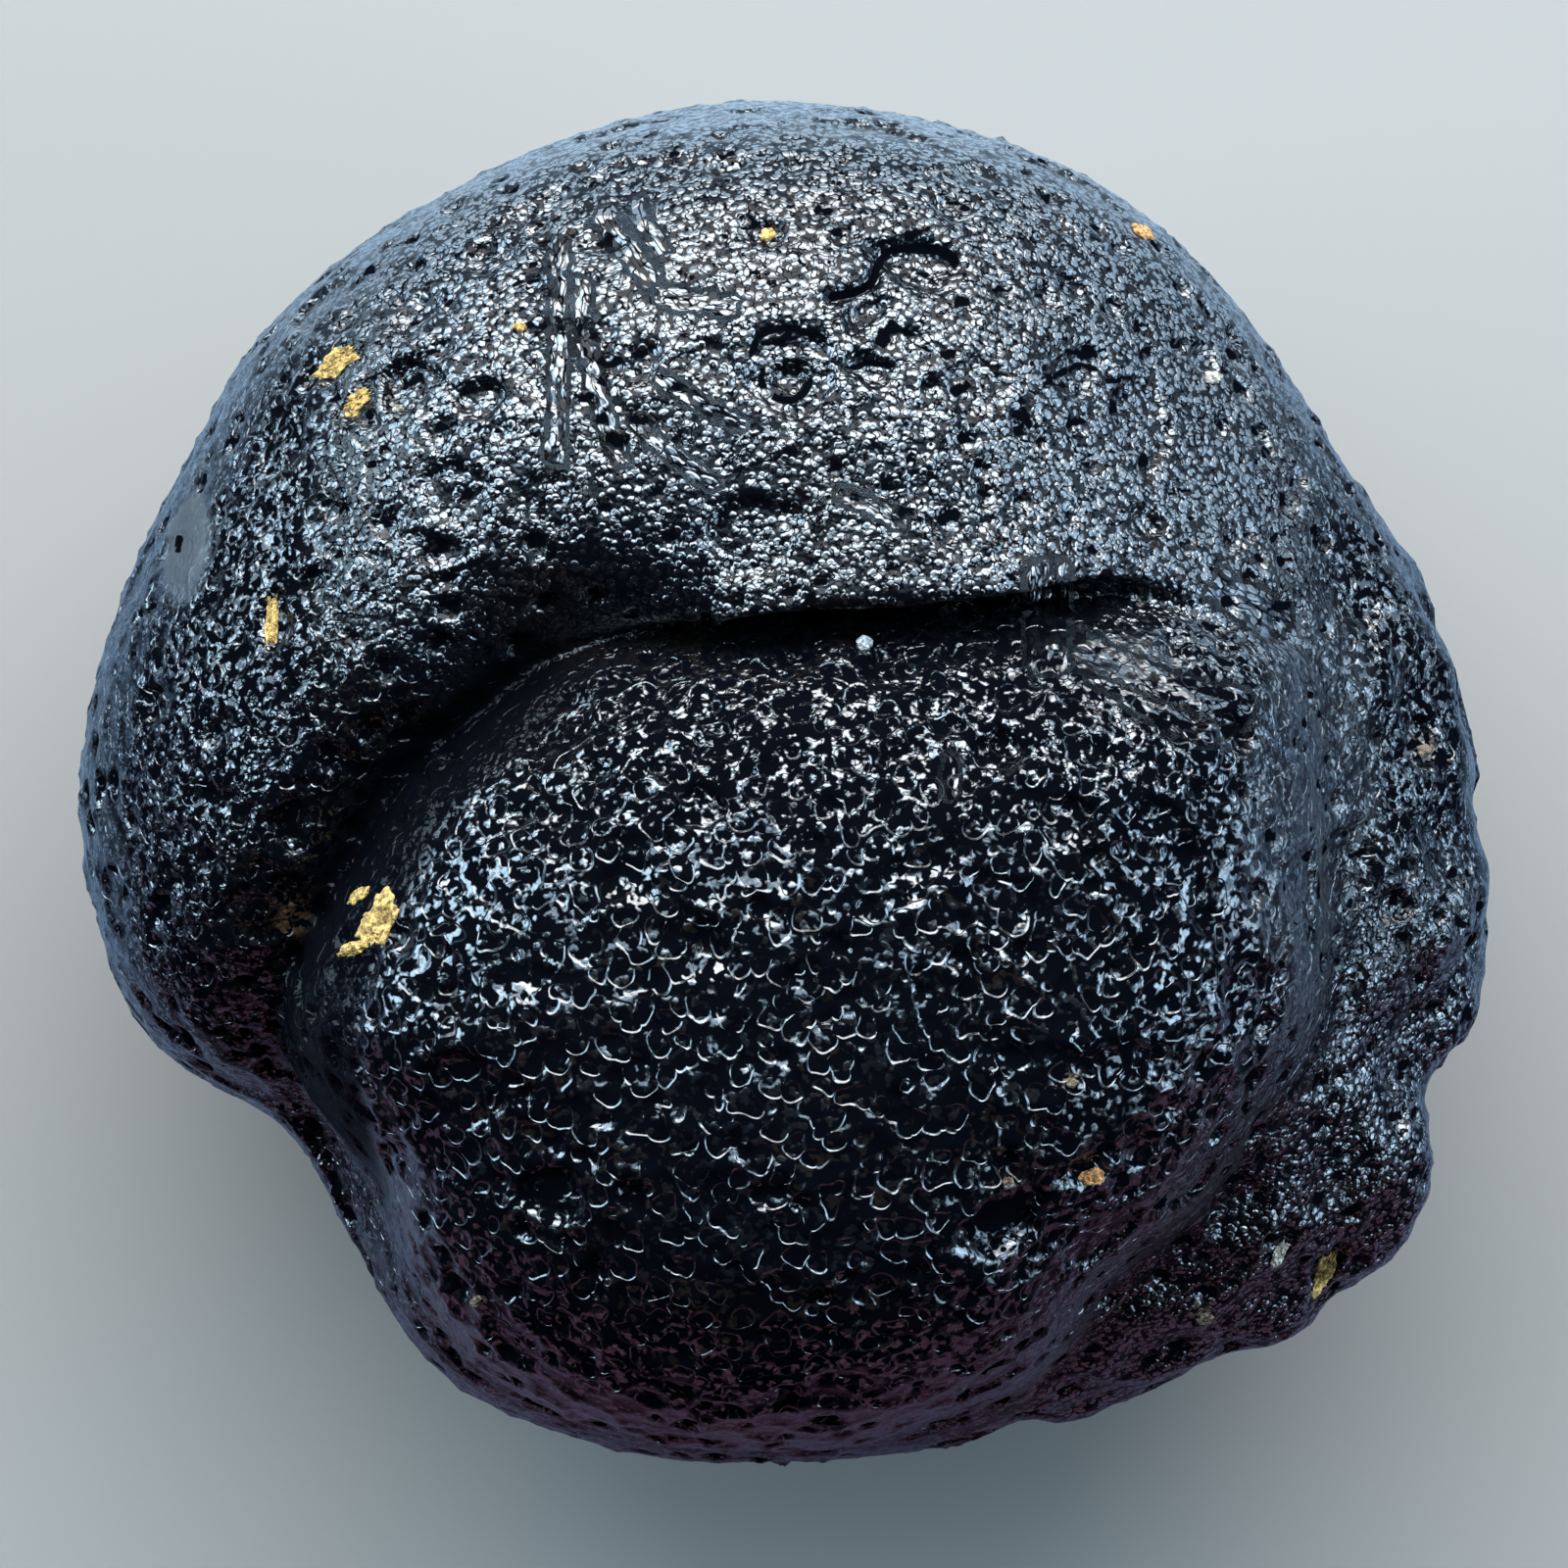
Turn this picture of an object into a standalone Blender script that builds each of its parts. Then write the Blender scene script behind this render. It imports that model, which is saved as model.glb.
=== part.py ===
"""A tektite: one lump of black natural glass that folded over itself while it was soft.

It lies on its flattened back. +X is the right and +Y the top of the face that looks up, and +Z is up.
The origin is under the middle of the stone, on the surface that it rests on. The stone is shaped in
millimetres, where Blender's modifiers work best, and is brought to metres at the end.
"""

import math
import random

import bpy
import numpy as np
from mathutils import Matrix, Vector, noise
from mathutils.bvhtree import BVHTree
from mathutils.kdtree import KDTree

MM = 0.001

# The body, in millimetres: its widest level, its height above and below that, and how full its profile is
WIDEST_HEIGHT = 14.0
HOOD_RISE = 17.5
RIGHT_RISE = 12.5
LOW_SIDE = -20
HOOD_FULLNESS = 2.5
HOOD_LEAN = 4.5
BACK_DEPTH = 14.8
BACK_FULLNESS = 2.15

# The stone's outline from above: an angle from +X in degrees, and the distance from its own middle
OUTLINE_MIDDLE = (-0.18, -0.62)
OUTLINE = (
    (0, 24.9), (12, 24.5), (25, 23.8), (40, 23.6), (52, 24.4), (65, 24.8), (90, 24.9), (118, 24.7),
    (140, 24.7), (150, 24.25), (162, 24.3), (175, 24.8), (190, 24.65), (200, 24.1), (206, 22.9),
    (211, 21.5), (216, 21.0), (226, 21.9), (241, 23.9), (258, 24.0), (285, 24.0), (297, 24.4),
    (310, 25.8), (321, 27.1), (329, 26.8), (335, 25.6), (340, 25.6), (346, 25.9), (353, 25.5),
)

# The ball under the hood: where the crease runs around its middle, and how far its side goes on below
BALL_MIDDLE = (1.0, -8.3)
BALL_LEVEL = 16.0
BALL_RISE = 18.5
BALL_DEPTH = 11.0
BALL_FULLNESS = 2.8
CREASE = (
    (0, 16.0), (10, 16.9), (19, 17.7), (29, 19.4), (36, 20.5), (42, 19.9), (49, 18.4), (58, 16.6),
    (68, 15.0), (80, 13.8), (94, 13.4), (109, 13.5), (122, 14.2), (139, 14.4), (151, 15.0), (160, 15.1),
    (170, 15.6), (180, 16.2), (190, 16.3), (202, 16.5), (214, 16.9), (225, 17.1), (238, 16.7),
    (250, 16.1), (265, 15.5), (280, 15.2), (296, 13.8), (310, 12.4), (319, 12.0), (334, 13.2), (351, 14.9),
)
UNDER_HOOD = 3.0
RIGHT_SPREAD = 2.2

# Stretches around the ball: their start and end in degrees from +X, and the soft edge of each
LIP_SPAN = (45, 115, 15)
FLANK_SPAN = (112, 208, 16)
GAP_SPAN = (128, 200, 14)
COVERED_SPAN = (40, 190, 14)
SPREAD_SPAN = (-65, 34, 14)
CLOSED_SPAN = (-160, 28, 12)
VALLEY_SPAN = (-75, 40, 12)
RIM_SPAN = (-72, 45, 12)
FOOT_SPAN = (185, 300, 12)

# The hood's edge: a sharp lip above the ball, and a rounded flank on its left
LIP_RAISE = 0.5
LIP_WIDTH = 3.0
FLANK_DROP = 4.6
FLANK_WIDTH = 4.4
HOOD_FOOT = 18.0

# The cut that opens the crease: its gap at the lip and at the flank, its undercut and its floor
LIP_GAP = 0.6
FLANK_GAP = 0.9
CLOSED_BY = 5.0
UNDERCUT = 0.067
UNDERCUT_BELOW = (32.0, 28.0)
SOCKET_FLOOR = 25.0
SOCKET_TOP = 40.0
SOCKET_POWERS = (0.35, 0.6)
VALLEY_WIDTH = 4.0
VALLEY_ABOVE = (12.0, 16.0)
FOOT_BELOW = (19.0, 15.0)
FOOT_ABOVE = (4.0, 8.0)

# Low swells all over, and lumps on the lower rim at the right: their size across and their height
SWELL = (7.0, 0.45)
LUMP = (3.4, 0.75)
RIM_EDGE = (1.5, 3.5)
RIM_BELOW = (27.0, 23.0)

# Pits. A named one has its place in a view from VIEW_HEIGHT above, as it appears at the widest level, its
# half length and half width, the angle of its length, its depth, and where its steep side is if it has one
VIEW_HEIGHT = 325.0
PITS = (
    (0.3, 14.7, 1.7, 1.6, 0, 0.5, None), (0.3, 14.6, 0.8, 0.75, 0, 1.0, None),
    (4.9, 18.6, 2.0, 1.3, -15, 0.9, 100), (3.0, 16.9, 1.2, 0.8, 50, 0.75, 130),
    (3.2, 14.8, 1.2, 0.8, -10, 0.6, 90), (10.5, 14.5, 1.3, 1.2, 0, 0.55, 90),
    (15.1, 15.2, 1.0, 0.8, 20, 0.6, 90), (6.1, 20.6, 0.9, 0.8, 0, 0.5, 90),
    (-2.1, 22.2, 1.0, 0.7, 30, 0.6, 90), (-0.6, 19.8, 0.8, 0.7, 0, 0.6, None),
    (-8.9, 20.6, 1.2, 0.6, 10, 0.55, None), (-10.5, 19.0, 1.0, 0.9, 0, 0.6, None),
    (-15.9, 15.1, 1.2, 0.7, 35, 0.6, None), (-15.3, 13.7, 1.1, 0.6, 40, 0.6, None),
    (-12.9, 17.1, 1.2, 0.9, 30, 0.5, 200), (-13.5, 14.4, 1.2, 1.1, 0, 0.8, None),
    (-10.9, 13.8, 1.0, 0.8, 0, 0.6, None), (-5.0, 15.0, 1.1, 0.6, 60, 0.5, None),
    (-18.3, 5.9, 0.6, 1.2, 0, 0.55, None), (-22.6, 2.8, 0.9, 0.8, 0, 0.6, None),
    (-17.7, -1.8, 1.0, 1.2, 0, 0.7, 60), (13.0, 9.3, 0.9, 0.7, 0, 0.55, None),
    (7.7, 1.2, 1.0, 0.9, 0, 0.75, None), (16.3, 1.8, 1.1, 0.7, -30, 0.75, None),
    (3.7, 4.2, 1.1, 0.9, 0, 0.6, None), (-3.0, -0.9, 1.0, 0.9, 0, 0.6, None),
    (-5.6, -3.5, 1.3, 1.1, 0, 0.5, 270), (-3.0, -6.0, 1.3, 1.2, 0, 0.5, 270),
    (-11.9, -7.7, 1.0, 0.9, 0, 0.65, 270), (10.2, -1.4, 1.2, 1.1, 0, 0.5, None),
    (4.9, -2.8, 1.4, 1.0, 20, 0.5, 270), (8.0, -15.9, 1.8, 1.3, 20, 0.9, None),
    (10.9, -14.0, 0.8, 0.8, 0, 0.7, None), (12.8, -13.3, 0.9, 0.8, 0, 0.6, None),
    (-8.4, -14.9, 1.4, 1.1, 0, 0.7, None), (-11.7, -18.2, 0.9, 0.8, 0, 0.7, None),
    (19.5, -17.4, 0.7, 1.3, -25, 0.8, None), (17.8, -16.6, 0.8, 0.8, 0, 0.7, None),
    (22.0, -4.5, 0.9, 0.7, 0, 0.7, None), (22.9, 1.4, 0.8, 1.1, 0, 0.7, None),
)
STEEP_SHARE = 0.8
MORE_PITS = 170
MORE_PIT_SIZE = (0.8, 1.5)
PIT_SEED = 8

VOXEL = 0.36
SMOOTH_ROUNDS = 5
SOFT_ROUNDS = 70
TRIANGLES = 9500

# What lies lower than this on the thinned stone is part of the flat that it rests on
REST_BAND = 0.02


def ring(table, angles):
    """The distance that a table gives at these angles in radians, on a smooth closed curve."""
    turn = 2 * math.pi
    at = np.radians([a for a, _ in table])
    far = np.array([r for _, r in table])
    at = np.concatenate([at - turn, at, at + turn])
    far = np.concatenate([far, far, far])
    slope = np.gradient(far, at)
    angles = np.mod(angles, turn)
    i = np.searchsorted(at, angles, side="right") - 1
    step = at[i + 1] - at[i]
    t = (angles - at[i]) / step
    return (
        (2 * t**3 - 3 * t**2 + 1) * far[i]
        + (t**3 - 2 * t**2 + t) * step * slope[i]
        + (3 * t**2 - 2 * t**3) * far[i + 1]
        + (t**3 - t**2) * step * slope[i + 1]
    )


def points_of(mesh):
    found = np.empty(len(mesh.vertices) * 3, np.float32)
    mesh.vertices.foreach_get("co", found)
    return found.reshape(-1, 3).astype(float)


def set_points(mesh, points):
    mesh.vertices.foreach_set("co", np.asarray(points, np.float32).ravel())
    mesh.update()


def normals_of(mesh):
    found = np.empty(len(mesh.vertices) * 3, np.float32)
    mesh.vertices.foreach_get("normal", found)
    return found.reshape(-1, 3).astype(float)


def smooth_step(low, high, value):
    t = np.clip((value - low) / (high - low), 0, 1)
    return t * t * (3 - 2 * t)


def sector(angle, start, end, soft):
    """1 between two angles in degrees, going to 0 over a soft edge at each."""
    half = (end - start) / 2
    off = np.degrees(np.abs(np.angle(np.exp(1j * (angle - math.radians(start + half))))))
    return 1 - smooth_step(half - soft, half + soft, off)


def around_ball(points):
    """The angle of each point about the ball's middle, and its distance outside the crease."""
    x, y = points[:, 0] - BALL_MIDDLE[0], points[:, 1] - BALL_MIDDLE[1]
    angle = np.arctan2(y, x)
    return angle, np.hypot(x, y) - ring(CREASE, angle)


def new_sphere(name, finer):
    """A unit sphere of even triangles."""
    bpy.ops.mesh.primitive_ico_sphere_add(subdivisions=finer, radius=1)
    obj = bpy.context.object
    obj.name = name
    return obj


def settle(obj):
    """Gives the object the mesh that its modifiers make."""
    graph = bpy.context.evaluated_depsgraph_get()
    made = bpy.data.meshes.new_from_object(obj.evaluated_get(graph))
    old = obj.data
    obj.modifiers.clear()
    obj.data = made
    bpy.data.meshes.remove(old)


def body():
    """The hood and the back, in one bun that is lower on its right."""
    obj = new_sphere("tektite", 8)
    p = points_of(obj.data)
    flat, up = np.hypot(p[:, 0], p[:, 1]), np.abs(p[:, 2])
    above = p[:, 2] > 0
    angle = np.arctan2(p[:, 1], p[:, 0])
    power = 2 / np.where(above, HOOD_FULLNESS, BACK_FULLNESS)
    right = smooth_step(-0.2, 0.9, np.cos(angle - math.radians(LOW_SIDE))) * smooth_step(0.2, 0.9, flat)
    rise = HOOD_RISE + (RIGHT_RISE - HOOD_RISE) * right
    wide = ring(OUTLINE, angle) * flat**power
    z = np.where(above, up**power * rise, -(up**power) * BACK_DEPTH)
    lean = HOOD_LEAN * np.where(above, up**2, 0)
    x, y = OUTLINE_MIDDLE[0] + wide * np.cos(angle), OUTLINE_MIDDLE[1] + wide * np.sin(angle) + lean
    q = np.column_stack([x, y, z + WIDEST_HEIGHT])
    turn, out = around_ball(q)
    roll = sector(turn, *FLANK_SPAN) * FLANK_DROP * np.exp(-((np.maximum(out, 0) / FLANK_WIDTH) ** 2))
    lip = sector(turn, *LIP_SPAN) * LIP_RAISE * np.exp(-((out / LIP_WIDTH) ** 2))
    q[:, 2] += np.where(q[:, 2] > HOOD_FOOT, lip - roll, 0)
    set_points(obj.data, q)
    return obj


def ball():
    obj = new_sphere("ball", 7)
    p = points_of(obj.data)
    flat, up = np.hypot(p[:, 0], p[:, 1]), np.abs(p[:, 2])
    angle = np.arctan2(p[:, 1], p[:, 0])
    power = 2 / BALL_FULLNESS
    more = UNDER_HOOD * sector(angle, *COVERED_SPAN) + RIGHT_SPREAD * sector(angle, *SPREAD_SPAN)
    wide = (ring(CREASE, angle) + more) * flat**power
    z = np.where(p[:, 2] > 0, up**power * BALL_RISE, -(up**power) * BALL_DEPTH)
    x, y = BALL_MIDDLE[0] + wide * np.cos(angle), BALL_MIDDLE[1] + wide * np.sin(angle)
    set_points(obj.data, np.column_stack([x, y, z + BALL_LEVEL]))
    return obj


def socket():
    """What opens the crease: a plug with the crease's outline, wider below than at the lip."""
    obj = new_sphere("socket", 7)
    p = points_of(obj.data)
    flat, up = np.hypot(p[:, 0], p[:, 1]), np.abs(p[:, 2])
    angle = np.arctan2(p[:, 1], p[:, 0])
    gap = LIP_GAP + (FLANK_GAP - LIP_GAP) * sector(angle, *GAP_SPAN)
    gap -= CLOSED_BY * sector(angle, *CLOSED_SPAN)
    wide = (ring(CREASE, angle) + gap) * flat ** SOCKET_POWERS[0]
    middle, half = (SOCKET_TOP + SOCKET_FLOOR) / 2, (SOCKET_TOP - SOCKET_FLOOR) / 2
    z = middle + np.sign(p[:, 2]) * up ** SOCKET_POWERS[1] * half
    wide *= 1 + smooth_step(*UNDERCUT_BELOW, z) * UNDERCUT
    x, y = BALL_MIDDLE[0] + wide * np.cos(angle), BALL_MIDDLE[1] + wide * np.sin(angle)
    set_points(obj.data, np.column_stack([x, y, z]))
    return obj


def join(obj, other, operation):
    modifier = obj.modifiers.new(operation.lower(), "BOOLEAN")
    modifier.operation = operation
    modifier.object = other
    settle(obj)
    bpy.data.objects.remove(other)


def remesh(obj, size, rounds):
    modifier = obj.modifiers.new("remesh", "REMESH")
    modifier.mode = "VOXEL"
    modifier.voxel_size = size
    modifier = obj.modifiers.new("smooth", "SMOOTH")
    modifier.iterations = rounds
    settle(obj)


def soften(obj, weights, rounds):
    """Smooths the surface where the weights are above 0."""
    group = obj.vertex_groups.new(name="soft")
    for i in np.nonzero(weights > 0.01)[0]:
        group.add([int(i)], float(weights[i]), "REPLACE")
    modifier = obj.modifiers.new("smooth", "SMOOTH")
    modifier.iterations = rounds
    modifier.vertex_group = group.name
    settle(obj)
    obj.vertex_groups.clear()


def softer_places(p):
    """1 in the valley at the ball's right and at the ball's foot, which have no sharp edge."""
    turn, out = around_ball(p)
    valley = sector(turn, *VALLEY_SPAN) * np.exp(-((out / VALLEY_WIDTH) ** 2))
    valley *= smooth_step(*VALLEY_ABOVE, p[:, 2])
    foot = sector(turn, *FOOT_SPAN) * smooth_step(*FOOT_BELOW, p[:, 2])
    foot *= smooth_step(*FOOT_ABOVE, p[:, 2])
    return np.clip(valley + foot, 0, 1)


def swell(obj):
    """Raises low swells all over, and lumps on the rim below the ball's right side."""
    p, n = points_of(obj.data), normals_of(obj.data)
    turn, out = around_ball(p)
    rim = sector(turn, *RIM_SPAN) * smooth_step(*RIM_EDGE, out) * smooth_step(*RIM_BELOW, p[:, 2])
    far = np.array([noise.noise(Vector(q / SWELL[0])) for q in p]) * SWELL[1]
    near = np.array([noise.noise(Vector(q / LUMP[0] + 40)) for q in p]) * LUMP[1]
    set_points(obj.data, p + n * (far + near * rim)[:, None])


def pits_on(obj):
    """Every pit, where it lies on the surface: its place, the way it faces and its measures."""
    mesh = obj.data
    surface = BVHTree.FromPolygons([v.co for v in mesh.vertices], [f.vertices for f in mesh.polygons])
    eye = Vector((0, 0, VIEW_HEIGHT))
    found = []
    for x, y, long, short, angle, deep, steep in PITS:
        place, facing, _, _ = surface.ray_cast(eye, (Vector((x, y, WIDEST_HEIGHT)) - eye).normalized())
        steep = None if steep is None else math.radians(steep)
        found.append((place, facing, long, short, math.radians(angle), deep, steep))
    draw = random.Random(PIT_SEED)
    middle = Vector((0, 0, WIDEST_HEIGHT))
    golden = math.pi * (3 - math.sqrt(5))
    for i in range(MORE_PITS):
        up = 1 - (2 * i + 1) / MORE_PITS + draw.uniform(-0.03, 0.03)
        turn = i * golden + draw.uniform(-0.16, 0.16)
        flat = math.sqrt(max(0, 1 - up * up))
        way = Vector((flat * math.cos(turn), flat * math.sin(turn), up))
        place, facing, _, _ = surface.ray_cast(middle + way * 60, -way)
        size = draw.uniform(*MORE_PIT_SIZE)
        long, angle = size * draw.uniform(1, 1.4), draw.uniform(0, math.pi)
        if place and min((place - p[0]).length - p[2] for p in found) > size:
            found.append((place, facing, long, size, angle, size * draw.uniform(0.35, 0.6), None))
    return found


def press(obj, pits):
    """Presses the pits in. A steep side deepens that half of a pit."""
    p, n = points_of(obj.data), normals_of(obj.data)
    tree = KDTree(len(p))
    for i, co in enumerate(p):
        tree.insert(co, i)
    tree.balance()
    depth = np.zeros(len(p))
    for place, facing, long, short, angle, deep, steep in pits:
        near = np.array([i for _, i, _ in tree.find_range(place, max(long, short))], int)
        if not len(near):
            continue
        side = Vector((math.cos(angle), math.sin(angle), 0))
        side = (side - facing * side.dot(facing)).normalized()
        away = p[near] - np.array(place)
        u, v = away @ np.array(side) / long, away @ np.array(facing.cross(side)) / short
        share = np.clip(1 - u * u - v * v, 0, 1)
        if steep is not None:
            share *= 1 + STEEP_SHARE * (u * math.cos(steep - angle) + v * math.sin(steep - angle))
        share *= np.clip(n[near] @ np.array(facing), 0, 1)
        depth[near] = np.maximum(depth[near], deep * share)
    set_points(obj.data, p - n * depth[:, None])


def thin_out(obj, triangles):
    faces = sum(len(f.vertices) - 2 for f in obj.data.polygons)
    modifier = obj.modifiers.new("fewer", "DECIMATE")
    modifier.ratio = triangles / faces
    settle(obj)


def glass():
    material = bpy.data.materials.new("black glass")
    material.use_nodes = True
    shader = material.node_tree.nodes["Principled BSDF"]
    shader.inputs["Base Color"].default_value = (0.012, 0.013, 0.015, 1)
    shader.inputs["Roughness"].default_value = 0.3
    shader.inputs["Metallic"].default_value = 0.0
    return material


def finish(obj):
    """Rests the stone on its flat, puts the origin under its middle, and brings it to metres."""
    p = points_of(obj.data)
    p[:, 2] = np.where(p[:, 2] < REST_BAND, 0, p[:, 2])
    middle = (p.min(0) + p.max(0)) / 2
    p[:, :2] -= middle[:2]
    set_points(obj.data, p)
    obj.data.transform(Matrix.Scale(MM, 4))
    obj.data.shade_flat()
    obj.data.materials.append(glass())
    group = bpy.data.collections.new("Tektite")
    bpy.context.scene.collection.children.link(group)
    for old in obj.users_collection:
        old.objects.unlink(obj)
    group.objects.link(obj)


def main():
    for obj in list(bpy.data.objects):
        bpy.data.objects.remove(obj)
    stone = body()
    join(stone, socket(), "DIFFERENCE")
    join(stone, ball(), "UNION")
    remesh(stone, VOXEL, SMOOTH_ROUNDS)
    soften(stone, softer_places(points_of(stone.data)), SOFT_ROUNDS)
    swell(stone)
    press(stone, pits_on(stone))
    p = points_of(stone.data)
    p[:, 2] = np.maximum(p[:, 2], 0)
    set_points(stone.data, p)
    thin_out(stone, TRIANGLES)
    finish(stone)


main()
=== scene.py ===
"""The looks of a tektite: its fine surface, its glass, the clay in its pits, and the studio around it.

The surface is shaped in millimetres from the same forms as the solid, only finer, and is then brought to
metres and fitted to the solid's box.
"""

import math
import random

import bpy
import numpy as np
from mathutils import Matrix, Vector, noise
from mathutils.bvhtree import BVHTree
from mathutils.kdtree import KDTree


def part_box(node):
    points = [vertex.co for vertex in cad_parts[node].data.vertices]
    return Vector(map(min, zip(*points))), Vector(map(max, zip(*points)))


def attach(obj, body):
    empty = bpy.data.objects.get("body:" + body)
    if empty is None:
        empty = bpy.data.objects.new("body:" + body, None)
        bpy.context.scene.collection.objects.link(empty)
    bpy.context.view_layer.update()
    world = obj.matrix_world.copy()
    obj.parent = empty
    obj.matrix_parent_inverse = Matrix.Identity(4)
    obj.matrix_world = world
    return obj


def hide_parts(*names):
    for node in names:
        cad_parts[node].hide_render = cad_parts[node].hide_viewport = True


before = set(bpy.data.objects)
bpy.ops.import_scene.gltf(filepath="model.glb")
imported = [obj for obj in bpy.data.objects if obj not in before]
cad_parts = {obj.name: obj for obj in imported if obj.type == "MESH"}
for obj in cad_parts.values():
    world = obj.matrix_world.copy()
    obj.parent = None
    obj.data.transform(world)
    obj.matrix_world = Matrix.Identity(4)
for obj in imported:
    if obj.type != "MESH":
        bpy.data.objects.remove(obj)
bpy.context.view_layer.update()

MM = 0.001

# The body, in millimetres: its widest level, its height above and below that, and how full its profile is
WIDEST_HEIGHT = 14.0
HOOD_RISE = 17.5
RIGHT_RISE = 12.5
LOW_SIDE = -20
HOOD_FULLNESS = 2.5
HOOD_LEAN = 4.5
BACK_DEPTH = 14.8
BACK_FULLNESS = 2.15

# The stone's outline from above: an angle from +X in degrees, and the distance from its own middle
OUTLINE_MIDDLE = (-0.18, -0.62)
OUTLINE = (
    (0, 24.9), (12, 24.5), (25, 23.8), (40, 23.6), (52, 24.4), (65, 24.8), (90, 24.9), (118, 24.7),
    (140, 24.7), (150, 24.25), (162, 24.3), (175, 24.8), (190, 24.65), (200, 24.1), (206, 22.9),
    (211, 21.5), (216, 21.0), (226, 21.9), (241, 23.9), (258, 24.0), (285, 24.0), (297, 24.4),
    (310, 25.8), (321, 27.1), (329, 26.8), (335, 25.6), (340, 25.6), (346, 25.9), (353, 25.5),
)

# The ball under the hood: where the crease runs around its middle, and how far its side goes on below
BALL_MIDDLE = (1.0, -8.3)
BALL_LEVEL = 16.0
BALL_RISE = 18.5
BALL_DEPTH = 11.0
BALL_FULLNESS = 2.8
CREASE = (
    (0, 16.0), (10, 16.9), (19, 17.7), (29, 19.4), (36, 20.5), (42, 19.9), (49, 18.4), (58, 16.6),
    (68, 15.0), (80, 13.8), (94, 13.4), (109, 13.5), (122, 14.2), (139, 14.4), (151, 15.0), (160, 15.1),
    (170, 15.6), (180, 16.2), (190, 16.3), (202, 16.5), (214, 16.9), (225, 17.1), (238, 16.7),
    (250, 16.1), (265, 15.5), (280, 15.2), (296, 13.8), (310, 12.4), (319, 12.0), (334, 13.2), (351, 14.9),
)
UNDER_HOOD = 3.0
RIGHT_SPREAD = 2.2

# Stretches around the ball: their start and end in degrees from +X, and the soft edge of each
LIP_SPAN = (45, 115, 15)
FLANK_SPAN = (112, 208, 16)
GAP_SPAN = (128, 200, 14)
COVERED_SPAN = (40, 190, 14)
SPREAD_SPAN = (-65, 34, 14)
CLOSED_SPAN = (-160, 28, 12)
VALLEY_SPAN = (-75, 40, 12)
RIM_SPAN = (-72, 45, 12)
FOOT_SPAN = (185, 300, 12)

# The hood's edge: a sharp lip above the ball, and a rounded flank on its left
LIP_RAISE = 0.5
LIP_WIDTH = 3.0
FLANK_DROP = 4.1
FLANK_WIDTH = 2.7
HOOD_FOOT = 18.0

# The cut that opens the crease: its gap at the lip and at the flank, its undercut and its floor
LIP_GAP = 0.6
FLANK_GAP = 0.9
CLOSED_BY = 5.0
UNDERCUT = 0.067
UNDERCUT_BELOW = (32.0, 28.0)
SOCKET_FLOOR = 25.0
SOCKET_TOP = 40.0
SOCKET_POWERS = (0.35, 0.6)
VALLEY_WIDTH = 4.0
VALLEY_ABOVE = (12.0, 16.0)
FOOT_BELOW = (19.0, 15.0)
FOOT_ABOVE = (4.0, 8.0)

# Low swells all over, and lumps on the lower rim at the right: their size across and their height
SWELL = (7.0, 0.22)
LUMP = (3.4, 0.75)
RIM_EDGE = (1.5, 3.5)
RIM_BELOW = (27.0, 23.0)

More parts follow.
